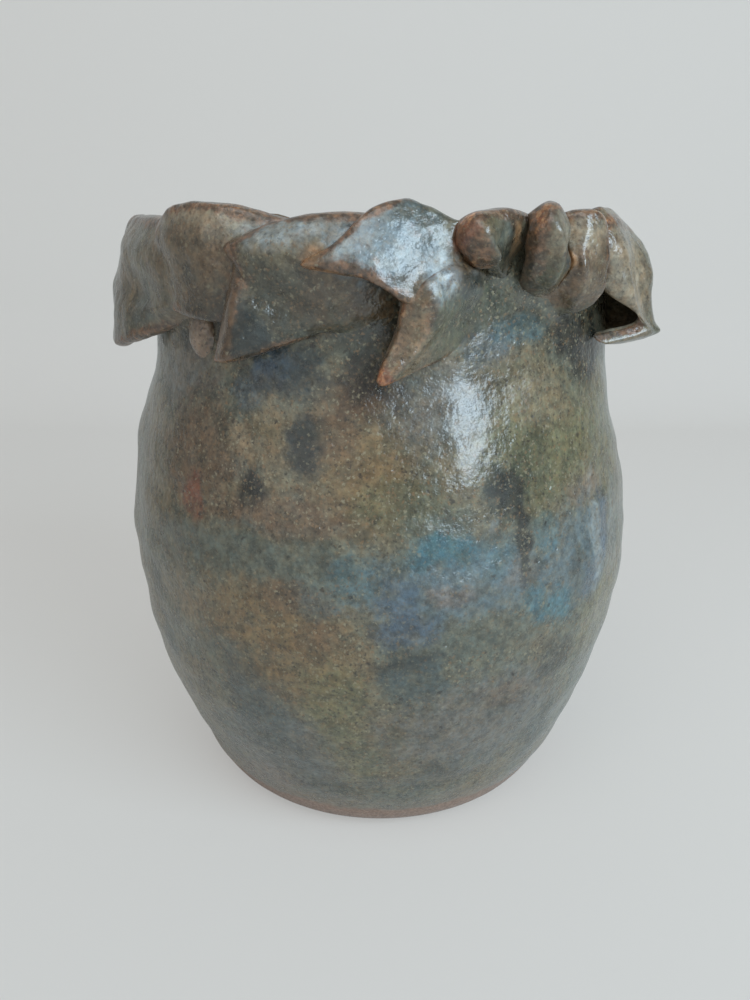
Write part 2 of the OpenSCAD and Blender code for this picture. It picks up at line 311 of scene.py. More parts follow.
# Where the glaze has run off a flap
RIM, FADE = 0.6, 3.6    # mm from an edge that are bare, and mm over which the glaze then returns
CORNER = 9.0            # reach of the barest clay from a flap's corner, mm
FAR = 99                # mm added to an edge's distance to keep it glazed
COVERED = ("lobed", "pleated", "turned", "cupped")      # flaps with glaze over their lower edges
TOP_REACH = {"pointed": 5, "crested": 24}       # mm of top edge, from the free end, that is bare
LONG_REACH = 40                                 # the same on the other flaps

# The flaps' nets: rows from the rim down, each from the free end to the end on the neck. A point
# is degrees round, mm out from the wall and mm up from the lip.
NETS = {
    "folded": [
        [[-12, 3, 4.5], [-2, 4.5, 6.5], [10, 3, 6], [22, 3, 5.5], [31, -1, 5]],
        [[-14, 8, -3], [-2, 9, -2], [10, 7.5, -3], [24, 6, -4], [32, -1, -4]],
        [[-13, 12, -9.5], [-2, 10.5, -12], [10, 6, -15], [25, 5, -15], [31, -1, -16]],
        [[-13, 13, -16], [-2, 12, -18.5], [9, 8.5, -19.5], [19, 4.5, -19.5], [26, -1, -19]],
        [[-12, 13.5, -30.5], [-2, 12.5, -31], [10, 8, -27], [17, 2.5, -24], [21, -1, -23]]],
    "broad": [
        [[-11, 4.5, 5.5], [-3, 6.5, 8.5], [8, 5.5, 8.7], [20, -1, 4.5]],
        [[-10, 7, 1], [-2, 9, 1], [9, 8, 1], [21, -1, -2]],
        [[-8, 6.5, -5.5], [1, 8.5, -6], [10, 8, -7], [20, -1, -9]],
        [[-8, 5.5, -12], [0, 7.5, -13], [8, 7, -14], [17, -1, -15]],
        [[-8, 5, -18.5], [0, 7, -19.5], [7, 6, -20.5], [14, -1, -21]]],
    "cornered": [
        [[-7, 4, 4], [-4, 6, 4.8], [3, 6, 6], [10, 4, 6], [18, -1, 5]],
        [[-10.5, 6.5, 1.5], [-7.5, 9, 1.5], [1, 10, 1.2], [10, 6.5, 0.5], [19, -1, 0]],
        [[-14.5, 8, -1.5], [-10.8, 11, -2], [-2, 11, -4], [8, 7.5, -6], [19, -1, -6]],
        [[-13.2, 8, -5.3], [-9, 10.5, -7.5], [-1.5, 9, -11.5], [6, 6, -13.5], [19, -1, -13]],
        [[-13.6, 8.5, -9], [-9.3, 10.5, -10.5], [-2, 6.5, -15], [6, 4.5, -17], [18, -1, -17]],
        [[-15.5, 8.5, -16.8], [-10.5, 12, -15], [-3.5, 7.5, -19], [4, 4, -19.5], [16, -1, -19]],
        [[-16.5, 9.5, -24], [-11.7, 12.5, -23.5], [-6, 8, -23.5], [1, 3.5, -22], [12, -1, -21]],
        [[-17, 10, -29.6], [-13, 12, -29], [-8, 7.5, -26.8], [-2.5, 4, -24.3], [4, -1, -21]]],
    "crested": [
        [[-14.5, 11.5, -4.5], [-9, 10, 0], [-4, 7, 6.6], [2, 5, 9.3], [7, 5, 7.5], [12, 4, 4.4],
         [18, 1, 3.5]],
        [[-14.6, 12, -5], [-9.5, 12, -2.5], [-4.5, 10, 1.5], [1, 8, 3.5], [6, 7.5, 1.5],
         [11, 6, -1], [18, 1, -2]],
        [[-14.7, 12.3, -5.3], [-9.8, 13, -5], [-5, 12.2, -3.5], [0, 11, -4], [4, 10, -6],
         [9, 7.5, -8], [17, 1, -9]],
        [[-14.8, 11.5, -5.7], [-10, 12, -7.2], [-5, 12.5, -8.2], [-1, 12.5, -11.2], [2, 11, -14],
         [7, 7.5, -15], [14, -1, -15]]],
    "pointed": [
        [[-10.2, 9, -14], [-7, 11, -9.3], [-3.8, 9.5, -7], [0, 7.5, -6], [8, -1, -6]],
        [[-10.6, 9, -16.8], [-5, 11, -13], [-2.9, 9.5, -11], [1, 7, -9.5], [8.5, -1, -9]],
        [[-11.2, 8.5, -20.4], [-4.7, 10.3, -17], [-1.8, 8, -15.3], [2.6, 4.5, -13], [9, -1, -12]],
        [[-12.6, 9, -25], [-7.1, 10, -24], [-3.5, 7, -21], [0.5, 4, -18.2], [7, -1, -16.5]],
        [[-14.1, 9.5, -30], [-10.7, 10, -30], [-6.5, 7, -28], [-1.3, 3.5, -25.5], [5, -1, -23]],
        [[-14.6, 9.5, -32.6], [-13.6, 9.5, -33.6], [-10.8, 8, -32.6], [-5.6, 5, -30], [2, -1, -26.5]]],
    "lobed": [
        [[-6.2, 7, 3.4], [-4.4, 9, 5.5], [-1, 8.5, 6.8], [4.5, 6, 7], [12, 1, 5.5]],
        [[-6.4, 9, 1.7], [-3.6, 12, 2.7], [-1, 11, 3.5], [3.5, 8, 3], [11.5, 1, 2.5]],
        [[-6.4, 9, -0.5], [-2.4, 12.5, 0], [-0.5, 11, 0], [3, 7.5, -0.5], [10, 0, -1]],
        [[-5.6, 8, -2.7], [-1.2, 12, -2.2], [0.8, 9.5, -2.8], [3, 6, -3.8], [8, -1, -4]],
        [[-3.8, 7, -5.2], [-0.2, 10, -4.6], [1.3, 8, -5], [4, 4, -6], [8, -1, -7]],
        [[-2, 6, -6.6], [-0.2, 7, -6.4], [2, 4.5, -7.5], [4.5, 1.5, -9], [8, -2, -10]]],
    "pleated": [
        [[-4, 8.5, 6], [-2.2, 10, 8], [0.3, 9, 8.6], [3, 6, 7.5], [8, -1, 6]],
        [[-4.8, 10.5, 3.3], [-2.8, 13, 4], [0, 12, 4], [3, 9, 3.4], [8, -1, 3]],
        [[-5, 10, 1.1], [-1.8, 14, 0.9], [0.8, 12, 0], [3.6, 8.5, -1.2], [8, -1, -2]],
        [[-4.2, 8.5, -2.9], [-0.6, 12.5, -3.5], [1.6, 10.5, -4.3], [4.4, 7, -5.4], [8, -1, -6]],
        [[-3.4, 6.5, -7], [0.4, 10, -7.5], [2.5, 8, -8.2], [5, 4.5, -9.3], [8, -1, -10]],
        [[-2.4, 3, -11], [0.8, 5.5, -11.5], [3, 4.5, -12], [5.5, 2, -13], [8, -2, -14]],
        [[-1, -1, -13.5], [1.5, -0.5, -14], [3.5, -0.5, -14.5], [5.5, -1, -15], [8, -2, -16]]],
    "turned": [
        [[5, 8, 6.3], [2.5, 8.5, 7.4], [0, 7, 7], [-1.2, 5.5, 6.5], [-2.3, 3.5, 6]],
        [[6, 9, 2.5], [3, 9.5, 3.2], [0, 8.5, 3], [-1.2, 6.5, 3], [-2.3, 3.5, 3]],
        [[6, 10, -3.6], [2.6, 10, -2.5], [0, 9, -2.5], [-1.8, 8, -3], [-3, 3, -2.6]],
        [[6, 9.5, -8.2], [2.5, 10, -7.5], [0, 9.5, -7.5], [-2, 8.5, -7.5], [-3.5, 1.5, -7.5]],
        [[6.5, 9, -12.2], [4, 9, -12.5], [1.5, 8, -13], [-0.5, 7, -13.5], [-3, 1, -13.5]],
        [[4.5, 7.5, -16.5], [3.2, 6.5, -17.8], [2, 4, -19], [0.5, 1.5, -19.5], [-1, -2, -19]]],
    "cupped": [
        [[-16, 2, 3.8], [-12, 4, 5.6], [-4, 4.5, 5], [6, 5, 3.2], [20, -1, 5]],
        [[-16, 5, -3], [-12, 8.5, -3], [-5, 8, -2], [4, 9.5, -1.5], [20, -1, -3]],
        [[-14, 5, -9], [-11, 10, -9.5], [-5, 9.5, -9], [3, 13, -9], [19, -1, -10]],
        [[-13, 4.5, -13.5], [-9.5, 11, -15.5], [-4, 11, -16], [4, 12.8, -16], [18, -1, -17]],
        [[-6.5, 11.5, -21], [-5, 12.5, -22], [-2, 13, -22.5], [4, 14, -23], [16, -1, -22]],
        [[-4.5, 13.5, -25.5], [-3, 14.5, -26.3], [0, 15, -26.7], [5, 15, -26.7], [16, -1, -26]],
        [[-11, 3.5, -29], [-7, 4, -29.5], [-2, 6, -30], [5, 6, -30], [15, -2, -29]]]}

# Which way a sheet's back lies from its face: mm inward and mm up
BACK = {"cupped": (4.0, 3.5)}

# Styles whose first strip is a broad cut end
BLUNT = ("cornered", "pointed", "lobed")

# Round the mouth from the left of the front: net and bearing
FLAPS = [
    ("folded", -70), ("broad", -39), ("cornered", -14), ("crested", 2), ("pointed", 14),
    ("lobed", 20), ("pleated", 32), ("turned", 41), ("cupped", 68), ("broad", 105),
    ("cornered", 129), ("crested", 146), ("pointed", 159), ("lobed", 165), ("folded", 186),
    ("broad", 216), ("cornered", 240), ("pointed", 262), ("lobed", 269)]


def spline(points, share):
    """Points of a smooth curve through a list's points, at shares of its length in steps."""
    points = np.asarray(points, float)
    last = len(points) - 1
    padded = np.concatenate([[2 * points[0] - points[1]], points, [2 * points[-1] - points[-2]]])
    step = np.minimum((np.asarray(share) * last).astype(int), last - 1)
    u = (np.asarray(share) * last - step).reshape([-1] + [1] * (points.ndim - 1))
    a, b, c, d = (padded[step + k] for k in range(4))
    return b + u / 2 * (c - a + u * (2 * a - 5 * b + 4 * c - d + u * (3 * (b - c) + d - a)))


def flap_sheets(line, style, bearing, down, across):
    """Grids of points on a flap's outer face and on its back, in mm."""
    rows = spline(NETS[style], down)
    net = np.swapaxes(spline(np.swapaxes(rows, 0, 1), across), 0, 1)
    z = line.lip_z + net[..., 2]
    r = line.outer(np.minimum(z, line.lip_base)) + net[..., 1]
    inward, upward = BACK.get(style, (SLAB, 0))
    turn = bearing + net[..., 0]
    return cylinder_point(turn, r, z), cylinder_point(turn, r - inward, z + upward)


def edge_distance(grid):
    """Distance of each grid point from the grid's edges, along the sheet."""
    def from_ends(axis):
        step = np.linalg.norm(np.diff(grid, axis=axis), axis=-1)
        run = np.insert(np.cumsum(step, axis), 0, 0, axis)
        return run, np.take(run, [-1], axis) - run
    top, bottom = from_ends(0)
    left, right = from_ends(1)
    return top, bottom, left, right


def border(count):
    """Indices round the edge of a grid of count by count points."""
    grid = np.arange(count * count).reshape(count, count)
    return np.concatenate([grid[0, :-1], grid[:-1, -1], grid[-1, :0:-1], grid[:0:-1, 0]])


def slab_mesh(front, back, layers, bulge):
    """Points and faces of a closed slab between two grids, with its cut edge in layers."""
    count = len(front)
    total = count * count
    loop = border(count)
    inner = np.clip(np.arange(count), 2, count - 3)     # two points in, to find which way is out
    beside = front[np.ix_(inner, inner)].reshape(-1, 3)[loop]
    front, back = front.reshape(-1, 3), back.reshape(-1, 3)
    outward = front[loop] - beside
    outward /= np.linalg.norm(outward, axis=1, keepdims=True)
    points, rims = [front, back], [loop]
    for k in range(1, layers):
        share = k / layers
        swell = bulge * 4 * share * (1 - share)
        points.append(front[loop] * (1 - share) + back[loop] * share + outward * swell)
        rims.append(2 * total + (k - 1) * len(loop) + np.arange(len(loop)))
    rims.append(total + loop)
    faces = []
    for j in range(count - 1):
        for i in range(count - 1):
            k = j * count + i
            faces.append((k, k + count, k + count + 1, k + 1))
            faces.append((total + k, total + k + 1, total + k + count + 1, total + k + count))
    for upper, lower in zip(rims, rims[1:]):
        for k in range(len(loop)):
            n = (k + 1) % len(loop)
            faces.append((int(upper[k]), int(upper[n]), int(lower[n]), int(lower[k])))
    return np.concatenate(points), faces


def soften(face, back):
    """A slab's two faces, drawn together near its edges as fingers leave them."""
    near = 1 - np.clip(np.minimum.reduce(edge_distance(face)) / SOFT, 0, 1)
    sunk = SOFT * (1 - np.sqrt(1 - near ** 2)) * 0.9
    through = back - face
    inset = through / np.linalg.norm(through, axis=-1, keepdims=True) * sunk[..., None]
    return face + inset, back - inset


def bare_clay(style, share, face):
    """How far the glaze has left each point of a flap's outer face."""
    top, bottom, left, _ = edge_distance(face)
    if style in COVERED:
        bottom = bottom + FAR
    if style == "cupped":
        left = left + 0.15 * top    # its free end is more glazed lower down
    top = top + 0.4 * np.maximum(left - TOP_REACH.get(style, LONG_REACH), 0)
    rims = np.minimum.reduce([left, top, bottom])
    bare = np.clip(1 - (rims - RIM) / FADE, 0, 1)
    corner = np.clip(1 - (left + np.minimum(top, bottom)) / CORNER, 0, 1)
    bare = bare + 0.7 * corner
    if style in BLUNT:
        strip = share[None, :] * (len(NETS[style][0]) - 1)
        bare = np.maximum(bare, 0.62 * np.clip(1 - (strip - 0.9) / 0.3, 0, 1))
    return bare


def make_flap(line, number, material):
    """One folded slab: a bent sheet with finger-softened edges, uneven as hand-rolled clay is."""
    style, bearing = FLAPS[number - 1]
    share = np.linspace(0, 1, 72)
    share = 0.6 * share + 0.2 * (1 - np.cos(math.pi * share))       # closer towards the edges
    face, back = flap_sheets(line, style, bearing, share, share)
    points, faces = slab_mesh(*soften(face, back), LAYERS, BULGE)
    if NETS[style][0][0][0] > NETS[style][0][-1][0]:
        faces = [f[::-1] for f in faces]    # a net that runs from right to left
    flap = new_piece(f"flap_{number:02d}", points, faces, material)
    p, n = mesh_points(flap), mesh_normals(flap)
    noise = ClayNoise(100 + number)
    uneven = 0.4 * noise.at(p, 8) + 0.18 * noise.at(p + 50, 3)
    outward = p * (1, 1, 0) / np.hypot(p[:, 0], p[:, 1])[:, None]
    set_points(flap, p + n * uneven[:, None] + outward * marks_at(FLAP_MARKS, p)[:, None])
    mark_edges(flap, face, back, bare_clay(style, share, face), p)
    return flap


def mark_edges(flap, face, back, bare, points):
    """Stores how far the glaze has left each point, for the material to show clay there."""
    # The back keeps more glaze than the face, and the cut at the free end is bare
    samples = np.concatenate([face.reshape(-1, 3), back.reshape(-1, 3), ((face + back) / 2)[:, 0]])
    values = np.concatenate([bare.ravel(), 0.7 * bare.ravel(), np.ones(len(face))])
    tree = KDTree(len(samples))
    for k, sample in enumerate(samples):
        tree.insert(sample, k)
    tree.balance()
    found = [values[tree.find(point)[1]] for point in points]
    edge = flap.data.attributes.new("edge", "FLOAT", "POINT")
    edge.data.foreach_set("value", found)


def spread(piece, values):
    """Evens values out over a piece's neighbouring vertices."""
    ends = np.empty(2 * len(piece.data.edges), int)
    piece.data.edges.foreach_get("vertices", ends)
    a, b = ends[::2], ends[1::2]
    degree = np.bincount(ends, minlength=len(values))
    for _ in range(4):
        total = np.bincount(a, values[b], len(values)) + np.bincount(b, values[a], len(values))
        values = 0.5 * values + 0.5 * total / degree
    return values


def luted_skin(pieces):
    """One smooth skin round pieces, in metres, that fills the corners where they meet."""
    points, faces, start = [], [], 0
    for piece in pieces:
        co = mesh_points(piece)
        points.append(co)
        faces.extend(tuple(v + start for v in f.vertices) for f in piece.data.polygons)
        start += len(co)
    body = new_piece("luted", np.concatenate(points), faces, pieces[0].data.materials[0])
    remesh = body.modifiers.new("remesh", "REMESH")
    remesh.mode = "VOXEL"
    remesh.voxel_size = 0.9 * MM
    smooth = body.modifiers.new("smooth", "SMOOTH")
    smooth.iterations = 14
    apply_modifiers(body)
    skin = BVHTree.FromPolygons([v.co[:] for v in body.data.vertices],
                                [f.vertices[:] for f in body.data.polygons])
    bpy.data.objects.remove(body)
    return skin


def lute(wall, flaps):
    """Fills the inner corners where flaps meet the neck and each other, as smeared clay does."""
    skin = luted_skin([wall] + flaps)
    reach = 2.6     # mm that clay is smeared up from a face
    lowest = 130    # mm, below the lowest flap
    for piece in [wall] + flaps:
        p, n = mesh_points(piece), mesh_normals(piece)
        keep = np.zeros(len(p))
        if piece is not wall:
            bare = np.empty(len(p))
            piece.data.attributes["edge"].data.foreach_get("value", bare)
            keep = np.clip(bare * 1.5, 0, 1)    # worn edges stay as they are
        push = np.zeros(len(p))
        for k in np.nonzero((p[:, 2] > lowest) & (keep < 1))[0]:
            normal = Vector(n[k])
            hit, facing, _, gap = skin.ray_cast(Vector(p[k] * MM), normal, reach * MM)
            if hit is not None and facing.dot(normal) > 0.2:
                push[k] = gap / MM * (1 - keep[k])
        set_points(piece, p + n * spread(piece, push)[:, None])


def make_wad(material):
    """The pinched wad of clay under the second flap: a thumbed ball, flatter on the neck's side."""
    half_sizes = (5.4, 3.8, 7)      # mm round the neck, out from it and up
    seated = 0.6                    # mm nearer the neck than the CAD box's middle
    low, high = (np.array(corner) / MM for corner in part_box("clay_wad"))
    centre = (low + high) / 2
    a = math.atan2(centre[0], -centre[1])
    slopes = np.linspace(-math.pi / 2, math.pi / 2, 41)
    points, faces = turned_mesh([(math.cos(s), math.sin(s)) for s in slopes], 64)
    ball = np.array(points)
    noise = ClayNoise(55)
    grow = 1 + 0.05 * noise.at(ball * 10, 9) + 0.02 * noise.at(ball * 10 + 40, 2.5)
    ball = ball * grow[:, None] * half_sizes
    spin = np.array([[math.cos(a), math.sin(a), 0], [-math.sin(a), math.cos(a), 0], [0, 0, 1]])
    radius = math.hypot(centre[0], centre[1]) - seated
    middle = cylinder_point(math.degrees(a), radius, centre[2])
    return new_piece("wad", ball @ spin + middle, faces, material)


# ---------------------------------------------------------------- materials

def rgb(code):
    """Linear colour from a hex code."""
    channels = [int(code[k:k + 2], 16) / 255 for k in (1, 3, 5)]
    return tuple((c / 12.92 if c <= 0.04045 else ((c + 0.055) / 1.055) ** 2.4) for c in channels) + (1,)


DRUM = 78       # mm, the radius at which glaze patches are measured round the pot
BLUR = 0.9      # share of a patch's half-size over which its edge fades


class Tree:
    """Short forms for building a material's nodes. Sizes are in mm."""

    def __init__(self, name):
        self.material = bpy.data.materials.new(name)
        self.material.use_nodes = True
        self.nodes = self.material.node_tree.nodes
        self.links = self.material.node_tree.links
        self.nodes.clear()

    def put(self, socket, value):
        """Links a socket or sets its value."""
        if isinstance(value, bpy.types.NodeSocket):
            self.links.new(value, socket)
        elif value is not None:
            socket.default_value = value

    def node(self, kind, **settings):
        """New node of a kind."""
        made = self.nodes.new(kind)
        for key, value in settings.items():
            setattr(made, key, value)
        return made

    def math(self, operation, a, b, clamp=False):
        """Operation on two numbers."""
        made = self.node("ShaderNodeMath", operation=operation, use_clamp=clamp)
        self.put(made.inputs[0], a)
        self.put(made.inputs[1], b)
        return made.outputs[0]

    def vector(self, operation, a, b=None, scale=None):
        """Operation on one or two vectors."""
        made = self.node("ShaderNodeVectorMath", operation=operation)
        self.put(made.inputs[0], a)
        self.put(made.inputs[1], b)
        if scale is not None:
            self.put(made.inputs["Scale"], scale)
        return made.outputs["Value"] if operation == "LENGTH" else made.outputs[0]

    def noise(self, at, size, detail=3.0, rough=0.55, colour=False):
        """Noise with features of a size, about 0.5 on average."""
        made = self.node("ShaderNodeTexNoise")
        self.put(made.inputs["Vector"], at)
        self.put(made.inputs["Scale"], 1 / size)
        self.put(made.inputs["Detail"], detail)
        self.put(made.inputs["Roughness"], rough)
        return made.outputs["Color" if colour else "Fac"]

    def swing(self, at, size, amount, detail=3.0, rough=0.55):
        """Noise about zero with features of a size, times an amount."""
        centred = self.math("SUBTRACT", self.noise(at, size, detail, rough), 0.5)
        return self.math("MULTIPLY", centred, amount)

    def shifted(self, at, size, detail, amount):
        """Positions moved about by noise, each way by up to half an amount."""
        sway = self.vector("SUBTRACT", self.noise(at, size, detail, colour=True), (0.5, 0.5, 0.5))
        return self.vector("ADD", at, self.vector("SCALE", sway, scale=amount))

    def cells(self, at, size, output="Color"):
        """Random cells of a size."""
        made = self.node("ShaderNodeTexVoronoi")
        self.put(made.inputs["Vector"], at)
        self.put(made.inputs["Scale"], 1 / size)
        return made.outputs[output]

    def ramp(self, value, low, high, to_low=0.0, to_high=1.0):
        """Smooth step of a value from one range to another."""
        made = self.node("ShaderNodeMapRange", interpolation_type="SMOOTHSTEP")
        for socket, item in zip(made.inputs[:5], (value, low, high, to_low, to_high)):
            self.put(socket, item)
        return made.outputs[0]

    def mix(self, share, a, b):
        """Colour a taken towards colour b. The node's colour sockets are 6, 7 and output 2."""
        made = self.node("ShaderNodeMix", data_type="RGBA")
        self.put(made.inputs[0], share)
        self.put(made.inputs[6], a)
        self.put(made.inputs[7], b)
        return made.outputs[2]

    def split(self, vector):
        """A vector's three parts."""
        made = self.node("ShaderNodeSeparateXYZ")
        self.put(made.inputs[0], vector)
        return made.outputs

    def attribute(self, name):
        """A number stored at each vertex."""
        return self.node("ShaderNodeAttribute", attribute_name=name).outputs["Fac"]

    def position(self):
        """Position on the object, in mm."""
        return self.vector("SCALE", self.node("ShaderNodeTexCoord").outputs["Object"], scale=1 / MM)

    def drum(self, at):
        """Positions moved in or out to a drum's surface, for patches that lie round the pot."""
        flat = self.vector("MULTIPLY", at, (1, 1, 0))
        ring = self.vector("SCALE", self.vector("NORMALIZE", flat), scale=DRUM)
        return self.vector("ADD", ring, self.vector("MULTIPLY", at, (0, 0, 1)))

    def patch(self, on_drum, bearing, height, wide, tall, ragged):
        """Mask of a soft patch at a bearing and height, with its half-width and half-height."""
        a = math.radians(bearing)
        middle = (DRUM * math.sin(a), -DRUM * math.cos(a), height)
        scale = (1 / wide, 1 / wide, 1 / tall)
        made = self.node("ShaderNodeVectorMath", operation="MULTIPLY_ADD")
        self.put(made.inputs[0], on_drum)
        self.put(made.inputs[1], scale)
        self.put(made.inputs[2], [-m * k for m, k in zip(middle, scale)])
        reach = self.math("ADD", self.vector("LENGTH", made.outputs[0]), ragged)
        return self.ramp(reach, 1 + BLUR / 2, 1 - BLUR / 2)

    def finish(self, colour, rough, height, bump_mm, **settings):
        """Ends the tree in a Principled shader."""
        shader = self.node("ShaderNodeBsdfPrincipled")
        self.put(shader.inputs["Base Color"], colour)
        self.put(shader.inputs["Roughness"], rough)
        for key, value in settings.items():
            self.put(shader.inputs[key.replace("_", " ")], value)
        bump = self.node("ShaderNodeBump")
        bump.inputs["Strength"].default_value = 1
        bump.inputs["Distance"].default_value = bump_mm * MM
        self.put(bump.inputs["Height"], height)
        self.put(shader.inputs["Normal"], bump.outputs[0])
        output = self.node("ShaderNodeOutputMaterial")
        self.links.new(shader.outputs[0], output.inputs["Surface"])
        return self.material


# The glaze's colours. Some dark ones also serve as painted shadow, the palest as painted highlights,
# and the buff as painted light on a flap's top
OCHRE, OLIVE, SAND, BROWN, UMBER = "#725e40", "#6a6648", "#82725a", "#4b3927", "#604c39"
RUST, BLUSH, GREY, VIOLET, PALE = "#7a4630", "#796b62", "#565b52", "#636260", "#8c9291"
HAZE, BLUE, TEAL, SLATE, INK = "#58666a", "#435565", "#3d636c", "#48514f", "#2d3535"
MOSS, BLACK_GLAZE_AND_SHADOW, DARK_GLAZE_AND_SHADOW, BUFF, PAINTED_HIGHLIGHT = "#474b38", "#222420", "#3b3c34", "#93846f", "#a6b1b6"
GOLD, STRAW, PEAT = "#a07c5a", "#70664e", "#3b3d30"
COOL = (HAZE, BLUE, TEAL, SLATE, INK, GREY, VIOLET)     # glazes that lie smooth over the grains
CHALKY = (PALE, SAND)                                   # glazes that are duller than the rest

# The clay's colours: at the foot, on worn edges (dark to bright), and as grains in the glaze
FOOT_DARK, FOOT_PALE, FOOT_THIN = "#7f604e", "#a28270", "#8c7969"
EDGE_DARK, EDGE_BROWN, EDGE_RED, EDGE_BRIGHT = "#4c3828", "#7d5c44", "#84502f", "#b98a60"
GRAIN_DARK, GRAIN_WARM, GRAIN_PALE, IRON = "#2a241e", "#7f6447", "#928970", "#1f1b18"

